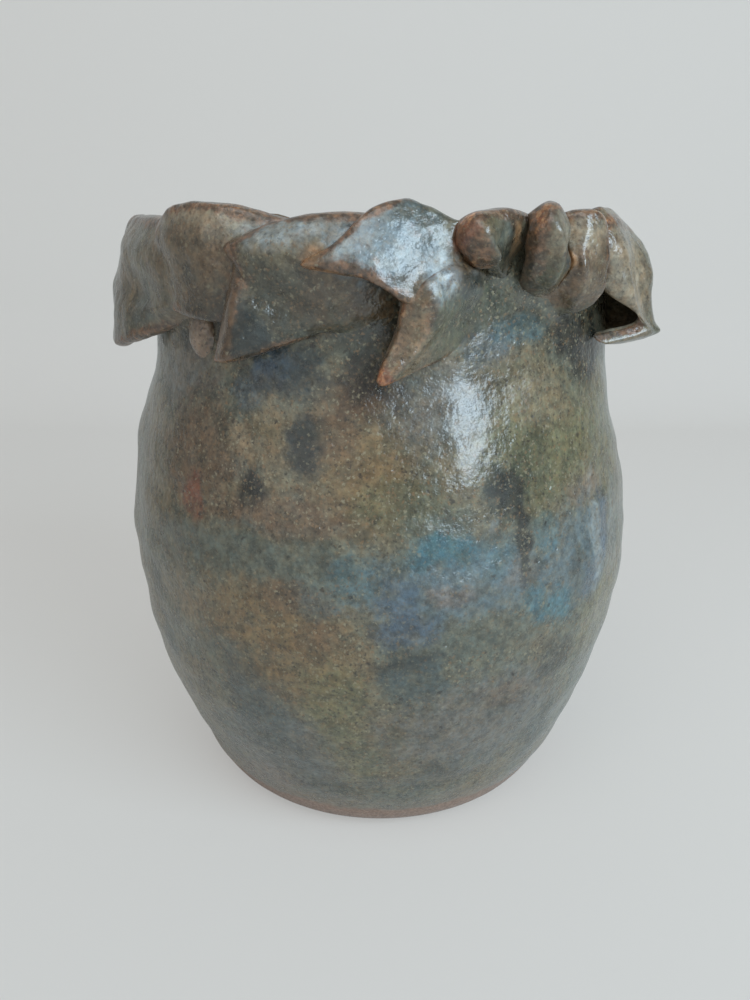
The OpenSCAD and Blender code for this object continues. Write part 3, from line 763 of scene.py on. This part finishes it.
# Glaze patches and painted shadow on the wall, painted in order: colour, strength, bearing,
# height, half-width and half-height
WALL_PATCHES = [
    # Shade under the flaps, and the warm glaze on the shoulder
    (DARK_GLAZE_AND_SHADOW, 0.7, -25, 163, 60, 9), (DARK_GLAZE_AND_SHADOW, 0.7, 36, 166, 50, 9), (VIOLET, 0.7, -48, 147, 14, 9),
    (UMBER, 0.8, -40, 127, 16, 13), (OCHRE, 0.6, -24, 132, 10, 7), (OCHRE, 0.85, -5, 125, 13, 11),
    (UMBER, 0.8, -20, 113, 24, 6), (BROWN, 1, -3, 144, 10, 6), (UMBER, 0.7, -9, 136, 8, 7),
    (VIOLET, 0.6, 12, 142, 14, 11), (OLIVE, 0.85, 36, 130, 20, 17), (OLIVE, 0.6, 4, 117, 12, 6),
    (DARK_GLAZE_AND_SHADOW, 0.3, 6, 116, 9, 7), (SAND, 0.5, 36, 141, 12, 7), (OLIVE, 0.5, 58, 128, 12, 20),
    (BLUSH, 0.5, 47, 114, 9, 5), (MOSS, 0.5, 31, 127, 8, 9),
    # The belly's grey band on the left, and the warm glaze below it
    (GREY, 0.9, -24, 102, 30, 7), (SLATE, 0.5, -46, 99, 9, 7), (OCHRE, 0.85, -22, 84, 24, 10),
    (UMBER, 0.7, -16, 92, 10, 5), (OCHRE, 0.85, -14, 70, 16, 13), (UMBER, 0.6, -11, 82, 6, 5),
    (OLIVE, 0.7, -9, 57, 10, 14), (OLIVE, 0.5, -7, 38, 9, 11),
    # The belly's blue band on the right, and the greyer glaze round and below it
    (HAZE, 0.95, 16, 95, 26, 10), (HAZE, 0.9, 44, 96, 14, 13), (GREY, 0.7, 18, 80, 24, 6),
    (VIOLET, 0.7, 22, 48, 26, 18), (VIOLET, 0.6, -24, 36, 20, 18), (GREY, 0.6, 9, 111, 9, 4),
    # Blue, teal, dark and pale marks in the blue band and under it
    (BLUSH, 0.6, 13, 93, 6, 3.5), (BLUSH, 0.4, 26, 96, 7, 4), (TEAL, 0.95, 11, 105, 9, 4.5),
    (TEAL, 0.4, -4, 99, 5, 6), (BLUE, 0.6, 3, 93, 5, 5), (TEAL, 0.3, -11, 93, 6, 6),
    (TEAL, 0.4, 22, 101, 5, 6), (SLATE, 0.7, 20, 107, 5, 3), (BLUE, 0.8, 5, 84, 8, 4.5),
    (INK, 0.8, 5.5, 73, 9, 6), (SLATE, 0.85, 6, 67, 9, 6), (TEAL, 0.8, 37, 83, 8, 5),
    (TEAL, 0.6, 31, 89, 4, 4), (TEAL, 0.5, 33, 105, 5, 6), (SLATE, 0.9, 43, 91, 4.5, 9),
    (BLUE, 0.8, 53, 101, 3.5, 9), (BLUE, 0.6, 48, 87, 5, 6), (PALE, 0.7, 49.5, 97, 2, 17),
    (PALE, 0.4, 59, 100, 3, 14),
    # Dark spots and runs on the shoulder, and its rust spot
    (INK, 0.9, 21, 121, 4, 5), (MOSS, 0.9, 27, 121, 5, 7), (BLACK_GLAZE_AND_SHADOW, 0.85, 24, 118, 6.5, 7),
    (BLACK_GLAZE_AND_SHADOW, 0.9, 28, 107, 2.2, 12), (PALE, 0.5, 21.7, 110, 1.6, 2.5), (INK, 1, -15, 131, 5.5, 7.5),
    (BLACK_GLAZE_AND_SHADOW, 0.6, -14.7, 131, 4, 5), (BLACK_GLAZE_AND_SHADOW, 1, -25, 119, 4, 5), (RUST, 0.75, -40, 115, 3.6, 5.5),
    (SAND, 0.6, -28, 133, 5, 4), (BLUE, 0.5, -27, 145, 6, 4), (INK, 1, -19, 149, 12, 6),
    (BLUE, 0.5, -22, 151, 6, 4), (BROWN, 0.3, -39, 143, 6, 3), (INK, 0.6, -46, 156, 6, 3),
    # Painted shadow below the pointed flap's tip
    (BLACK_GLAZE_AND_SHADOW, 0.8, -2, 149, 7, 6),
    # Dark blooms on the lower half, with paler ones between them
    (INK, 0.6, -29, 63, 7, 9), (SLATE, 0.6, -26, 49, 9, 12), (SLATE, 0.4, -21, 35, 9, 10),
    (INK, 0.6, -54, 81, 4, 9), (SLATE, 0.7, -53, 62, 4, 8), (SAND, 0.5, -41, 80, 5, 6),
    (PALE, 0.4, -60, 95, 3, 14), (UMBER, 0.5, 28, 57, 8, 4), (INK, 0.6, 39, 65, 7, 7),
    (OLIVE, 0.6, 54, 74, 10, 12), (INK, 0.5, 15, 27, 10, 6), (SLATE, 0.7, 41, 34, 7, 14),
    (SLATE, 0.4, 3, 22, 14, 5), (SLATE, 0.5, -15, 21, 9, 6), (BLUSH, 0.5, -33, 20, 14, 6),
    # The neck, close under the flaps: blue and teal glaze, and painted shadow in its dark patches
    (BLUE, 0.4, 24, 156, 9, 4), (TEAL, 0.4, 31, 159, 9, 4), (BLACK_GLAZE_AND_SHADOW, 1, 53, 154, 14, 7),
    (BLACK_GLAZE_AND_SHADOW, 1, 54, 151, 9, 8), (BLACK_GLAZE_AND_SHADOW, 0.9, 47, 158, 9, 6), (BLACK_GLAZE_AND_SHADOW, 0.35, -4, 159, 9, 6),
    (MOSS, 0.5, 20, 168, 12, 6),
    # The back
    (HAZE, 0.9, 120, 98, 40, 12), (HAZE, 0.9, 200, 104, 46, 12), (OCHRE, 0.8, 160, 66, 40, 16),
    (OCHRE, 0.8, 240, 70, 36, 18), (BROWN, 0.7, 150, 132, 34, 14), (UMBER, 0.7, 225, 134, 36, 14),
    (OLIVE, 0.7, 110, 130, 26, 16), (INK, 0.8, 100, 120, 5, 10), (INK, 0.9, 178, 122, 4, 14),
    (TEAL, 0.6, 186, 94, 10, 6), (TEAL, 0.4, 130, 92, 9, 7), (SLATE, 0.7, 215, 84, 12, 9),
    (INK, 0.7, 262, 126, 8, 8), (BLUE, 0.7, 150, 106, 8, 6), (VIOLET, 0.7, 130, 34, 40, 18),
    (VIOLET, 0.7, 220, 34, 44, 18), (SLATE, 0.6, 175, 40, 14, 8), (RUST, 0.6, 232, 118, 5, 6)]

# Glaze patches on the flaps, in the same form, with painted highlights, painted light and painted
# shadow among them
FLAP_PATCHES = [
    # The folded and the broad flap, with painted light on the broad flap's top
    (DARK_GLAZE_AND_SHADOW, 0.6, -72, 160, 14, 10), (SLATE, 0.6, -58, 164, 5, 7), (BUFF, 0.7, -34, 188, 14, 6),
    (UMBER, 0.6, -36, 174, 16, 12), (INK, 0.6, -37, 174, 3, 3), (BROWN, 0.6, -34, 165, 12, 5),
    # The cornered flap, with a painted highlight on its top face
    (GREY, 0.6, -12, 187, 14, 6), (PALE, 0.9, -18, 184, 9, 5), (DARK_GLAZE_AND_SHADOW, 0.8, -18, 167, 18, 9),
    (BROWN, 0.6, -3, 170, 16, 8), (INK, 1, -24, 160, 5, 6), (DARK_GLAZE_AND_SHADOW, 0.6, -12, 158, 10, 4),
    # The crested flap, with a painted highlight on its face
    (GREY, 0.7, 3, 186, 14, 8), (HAZE, 0.9, 1, 181, 13, 9), (PAINTED_HIGHLIGHT, 0.35, -2, 181, 8, 7),
    (INK, 0.5, 6, 192, 4, 2),
    # The pointed flap, with a painted highlight on its facet
    (PALE, 1, 11, 173, 5, 6), (PAINTED_HIGHLIGHT, 0.8, 10.5, 172.5, 3.5, 5), (MOSS, 0.8, 15, 163, 9, 9),
    (SLATE, 0.5, 22, 170, 8, 6), (BROWN, 0.7, 15, 178, 5, 5),
    # The lobed, the pleated and the turned flap, with painted shadow in the gap between the lobed and
    # the pleated flap, and dark glaze partly standing for shadow on the pleated flap's strip
    (OLIVE, 0.6, 20, 186, 5, 4), (BLACK_GLAZE_AND_SHADOW, 0.9, 24, 180, 4, 8), (BROWN, 0.6, 26, 180, 3, 8),
    (GREY, 0.7, 30, 184, 5, 8), (GREY, 0.7, 21, 183, 3, 4), (SAND, 0.6, 31, 181, 5, 9),
    (MOSS, 0.7, 32, 172, 6, 6), (OLIVE, 0.6, 36, 172, 5, 8), (BUFF, 0.8, 41, 183, 6, 7),
    (OCHRE, 0.6, 37, 177, 2, 3), (OLIVE, 0.6, 44, 168, 8, 8), (BROWN, 0.5, 48, 164, 6, 5),
    # The cupped flap, and the back
    (UMBER, 0.7, 48, 168, 6, 12), (BUFF, 0.8, 60, 174, 9, 20), (HAZE, 0.6, 146, 184, 12, 9),
    (GREY, 0.6, 240, 180, 14, 10), (PALE, 0.4, 170, 186, 8, 6), (UMBER, 0.6, 105, 176, 14, 10),
    (UMBER, 0.6, 216, 176, 14, 10), (INK, 0.6, 127, 160, 6, 6)]

# Patches painted over the flaps' worn edges, in the same form: painted shadow in the gaps, hollows
# and under the flaps' lower edges, a paler face on the pointed flap, and rust and gold on the tips
SHADOW_AND_TINTS_OVER_EDGES = [
    (DARK_GLAZE_AND_SHADOW, 0.4, 24.5, 178, 3, 9), (DARK_GLAZE_AND_SHADOW, 0.6, 27, 174, 4, 5), (DARK_GLAZE_AND_SHADOW, 0.7, 31, 168, 7, 5),
    (INK, 0.7, 16.5, 173, 4, 3), (INK, 0.9, 34.5, 178, 2, 4), (DARK_GLAZE_AND_SHADOW, 0.7, 42, 165, 9, 5),
    (SLATE, 0.7, 50, 158, 14, 4), (DARK_GLAZE_AND_SHADOW, 0.6, -36, 163, 12, 4), (BLACK_GLAZE_AND_SHADOW, 0.8, -24, 159, 4, 5),
    (UMBER, 0.9, 38.5, 173, 4, 7), (UMBER, 0.7, 43, 172, 4, 8), (SAND, 0.4, 5, 158, 4, 14),
    (UMBER, 0.9, -27.5, 164, 2.6, 13), (RUST, 0.6, 0.8, 149.5, 3, 4), (RUST, 0.5, 14, 182, 2.5, 3),
    (GOLD, 0.7, -11.2, 177, 2.5, 2.5), (GOLD, 0.6, 36.8, 177.5, 1.2, 4),
    (GOLD, 0.5, 25.6, 182, 1.6, 3), (DARK_GLAZE_AND_SHADOW, 0.4, 24, 166, 12, 6)]


def glaze(name, patches, base, second, on_flaps):
    """Mottled stoneware glaze over speckled clay, worn through on the flaps' edges, with painted shadow
    and painted highlights among its patches.
    """
    grains = 0.5 if on_flaps else 0.66
    t = Tree(name)
    at = t.position()
    warped = t.shifted(at, 12, 3, 11)
    on_drum = t.drum(warped)
    ragged = t.swing(at, 3.5, 1.5, 4, 0.65)
    colour = t.mix(t.ramp(t.noise(at, 18, 4), 0.38, 0.62), rgb(base), rgb(second))
    colour, smooth, matt = paint(t, colour, patches, on_drum, ragged)
    colour = t.mix(t.ramp(t.noise(at, 6, 4, 0.65), 0.5, 0.7, 0, 0.3), colour, rgb(STRAW))
    colour = t.mix(t.ramp(t.noise(warped, 8, 3), 0.54, 0.68, 0, 0.38), colour, rgb(PEAT))
    if on_flaps:
        colour = worn(t, at, colour)
        # Painted shadow in the flaps' gaps and hollows and under their edges, and tints on the tips
        colour = paint(t, colour, SHADOW_AND_TINTS_OVER_EDGES, on_drum, ragged)[0]
    colour = speckle(t, at, colour, smooth, grains)
    colour, clay = bare_foot(t, at, colour)
    rough = t.math("ADD", 0.18, t.math("MULTIPLY", t.noise(at, 5, 3), 0.2))
    rough = t.math("ADD", rough, t.math("MULTIPLY", matt, 0.2))
    rough = t.math("ADD", rough, t.math("MULTIPLY", clay, 0.4), clamp=True)
    return t.finish(colour, rough, glaze_relief(t, at), 0.5, IOR=1.62, Coat_Weight=0.5,
                    Coat_Roughness=0.16)


def paint(t, colour, patches, on_drum, ragged):
    """Colour with patches over it, and how far cool, smooth glaze and chalky glaze show."""
    smooth = matt = 0.0
    for tint, strength, bearing, height, wide, tall in patches:
        mask = t.patch(on_drum, bearing, height, wide, tall, ragged)
        mask = t.math("MULTIPLY", mask, strength)
        colour = t.mix(mask, colour, rgb(tint))
        clear = t.math("SUBTRACT", 1.0, t.math("MULTIPLY", mask, 0.8))
        if tint in COOL:
            smooth = t.math("MAXIMUM", smooth, mask)
        else:
            smooth = t.math("MULTIPLY", smooth, clear)
        if tint in CHALKY:
            matt = t.math("MAXIMUM", matt, mask)
    return colour, smooth, matt


def speckle(t, at, colour, smooth_glaze, grains):
    """Colour with the clay's grains showing through: warm and cool, pale and dark, with iron."""
    for size, depth in ((5.0, 0.55), (1.8, 0.65)):
        shade = t.ramp(t.noise(at, size, 3, 0.6), 0.25, 0.75, 1 - depth / 2, 1 + depth / 2)
        colour = t.vector("SCALE", colour, scale=shade)
    cooler, warmer = (0.94, 1.0, 1.04, 1), (1.08, 0.99, 0.9, 1)
    drift = t.ramp(t.noise(t.vector("ADD", at, (0, 40, 0)), 3, 3, 0.6), 0.34, 0.66)
    colour = t.vector("MULTIPLY", colour, t.mix(drift, cooler, warmer))
    bare = t.math("SUBTRACT", 1.0, t.math("MULTIPLY", smooth_glaze, 0.75))
    loose = t.shifted(at, 0.9, 2, 1.6)
    for size, strength in ((1.3, grains), (0.85, 0.9 * grains)):
        grain = t.ramp(t.cells(loose, size, "Distance"), 0.45, 0.2)
        kind = t.split(t.cells(loose, size))
        tint = t.mix(t.ramp(kind[0], 0.35, 0.5), rgb(GRAIN_DARK), rgb(GRAIN_WARM))
        tint = t.mix(t.ramp(kind[0], 0.7, 0.8), tint, rgb(GRAIN_PALE))
        grain = t.math("MULTIPLY", grain, t.ramp(kind[1], 0.2, 0.5, 0.15, 1))
        colour = t.mix(t.math("MULTIPLY", t.math("MULTIPLY", grain, strength), bare), colour, tint)
    spot = t.ramp(t.cells(loose, 8, "Distance"), 0.11, 0.05)
    return t.mix(t.math("MULTIPLY", spot, 0.7), colour, rgb(IRON))


def bare_foot(t, at, colour):
    """Colour thinning to bare clay in a line round the foot and under it, and where clay shows."""
    foot = t.math("ADD", t.split(at)[2], t.swing(at, 7, 5))
    # The line is kept off the floor inside, which is no higher
    across = t.vector("LENGTH", t.vector("MULTIPLY", at, (1, 1, 0)))
    ring = t.math("MULTIPLY", t.ramp(across, 58, 60), t.ramp(foot, 11.8, 9.4, 0, 0.8))
    clay = t.math("MAXIMUM", t.ramp(foot, 4.2, 2.2), ring)
    colour = t.mix(t.ramp(foot, 20, 4, 0, 0.6), colour, rgb(FOOT_THIN))
    grain = t.ramp(t.noise(at, 0.8, 3), 0.4, 0.6)
    return t.mix(clay, colour, t.mix(grain, rgb(FOOT_DARK), rgb(FOOT_PALE))), clay


def worn(t, at, colour):
    """Glaze colour with brown clay showing where it has run off the flaps' edges."""
    uneven = t.math("ADD", t.swing(at, 2.6, 1.6, 4, 0.65), t.swing(at, 9, 1.3, 2))
    ragged = t.math("ADD", t.attribute("edge"), uneven)
    warm = t.mix(t.ramp(t.noise(at, 2, 3), 0.4, 0.62), rgb(EDGE_DARK), rgb(EDGE_BROWN))
    colour = t.mix(t.math("MULTIPLY", t.ramp(ragged, 0.15, 0.75), 0.9), colour, warm)
    bright = t.mix(t.ramp(t.noise(at, 1.1, 2), 0.42, 0.6), rgb(EDGE_RED), rgb(EDGE_BRIGHT))
    return t.mix(t.math("MULTIPLY", t.ramp(ragged, 1.05, 1.5), 0.85), colour, bright)


def glaze_relief(t, at):
    """Height of the fired surface: slow waves, orange-peel grain and shallow pinholes."""
    waves = t.math("MULTIPLY", t.noise(at, 7, 2, 0.5), 0.9)
    peel = t.math("MULTIPLY", t.noise(at, 2.4, 2, 0.5), 0.8)
    grain = t.math("MULTIPLY", t.noise(at, 0.9, 2, 0.6), 0.3)
    relief = t.math("ADD", t.math("ADD", waves, peel), grain)
    hole = t.ramp(t.cells(at, 4.4, "Distance"), 0.2, 0.06)
    return t.math("SUBTRACT", relief, t.math("MULTIPLY", hole, 0.35))


def pale_paint(name, code, glow):
    """Studio paint, lifted towards an even pale tone where the camera sees it directly."""
    t = Tree(name)
    surface = t.node("ShaderNodeBsdfDiffuse")
    even = t.node("ShaderNodeEmission")
    blend = t.node("ShaderNodeMixShader")
    output = t.node("ShaderNodeOutputMaterial")
    seen = t.node("ShaderNodeLightPath").outputs["Is Camera Ray"]
    t.put(surface.inputs["Color"], rgb(code))
    t.put(even.inputs["Color"], rgb(glow))
    t.put(blend.inputs[0], t.math("MULTIPLY", seen, 0.5))
    t.put(blend.inputs[1], surface.outputs[0])
    t.put(blend.inputs[2], even.outputs[0])
    t.put(output.inputs["Surface"], blend.outputs[0])
    return t.material


# ---------------------------------------------------------------- studio

def make_sweep():
    """Pale table and wall in one sheet, joined by a bend."""
    wide, front, back, top, bend = 4.0, -3.0, 0.62, 3.0, 0.12       # metres
    section = [(front, 0), (back - bend, 0)]
    section += [(back - bend + bend * math.sin(a), bend - bend * math.cos(a))
                for a in np.linspace(0, math.pi / 2, 13)[1:]]
    section += [(back, top)]
    points = [(x / MM, y / MM, z / MM) for y, z in section for x in (-wide, wide)]
    faces = [(2 * k, 2 * k + 1, 2 * k + 3, 2 * k + 2) for k in range(len(section) - 1)]
    sweep = new_piece("studio_sweep", points, faces, pale_paint("table_paint", "#d9d8d4", "#d8d8d6"))


def make_world():
    """Dim, slightly blue daylight from all round."""
    world = bpy.data.worlds.new("studio")
    bpy.context.scene.world = world
    world.use_nodes = True
    background = world.node_tree.nodes["Background"]
    background.inputs["Color"].default_value = (0.92, 0.96, 1.0, 1)
    background.inputs["Strength"].default_value = 0.3


def make_lights():
    """A window at the front right, and broad light from above and from the front left."""
    aim = Vector((0, 0, 0.12))
    window = aim + 1.1 * Vector((0.61, -0.67, 0.42))
    add_light("window", window, aim, (0.85, 0.42), 9.6, (0.7, 0.87, 1.0), roll=40)
    add_light("ceiling", Vector((-0.1, -0.8, 1.5)), aim, (1.0, 1.0), 5.4, (1.0, 0.99, 0.97))
    add_light("fill", Vector((-1.2, -1.6, 0.9)), aim, (2.0, 1.6), 5, (1.0, 0.96, 0.9))


def add_light(name, place, aim, size, watts, colour, roll=0):
    """Area light facing a point, turned about its own axis by the roll in degrees."""
    data = bpy.data.lights.new(name, "AREA")
    data.shape = "RECTANGLE"
    data.size, data.size_y = size
    data.energy = watts
    data.color = colour
    light = bpy.data.objects.new(name, data)
    light.location = place
    facing = (aim - place).to_track_quat("-Z", "Y")
    light.rotation_euler = (facing @ Quaternion((0, 0, 1), math.radians(roll))).to_euler()
    bpy.context.scene.collection.objects.link(light)


# ---------------------------------------------------------------- build

def register(piece, slot, *nodes):
    """Puts a piece under the root body and hides the CAD nodes that it stands for."""
    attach(piece, "root")
    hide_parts(*nodes)


def build():
    """Makes the whole scene."""
    bpy.context.scene.view_settings.view_transform = "Standard"
    make_camera()
    make_sweep()
    make_world()
    make_lights()
    line = WallLine()
    wall_glaze = glaze("wall_glaze", WALL_PATCHES, "#6a614d", "#5f6053", False)
    flap_glaze = glaze("flap_glaze", FLAP_PATCHES, "#6a5c48", "#605e4e", True)
    clay = glaze("wad_clay", [], "#85705f", "#776a5e", False)
    wall = make_wall(line, wall_glaze)
    flaps = [make_flap(line, number, flap_glaze) for number in range(1, len(FLAPS) + 1)]
    lute(wall, flaps)
    register(wall, "glazed_wall", *WALL_NODES)
    for number, flap in enumerate(flaps, 1):
        register(flap, "glazed_flap", f"rim_flap_{number}")
    register(make_wad(clay), "bare_clay", "clay_wad")


build()
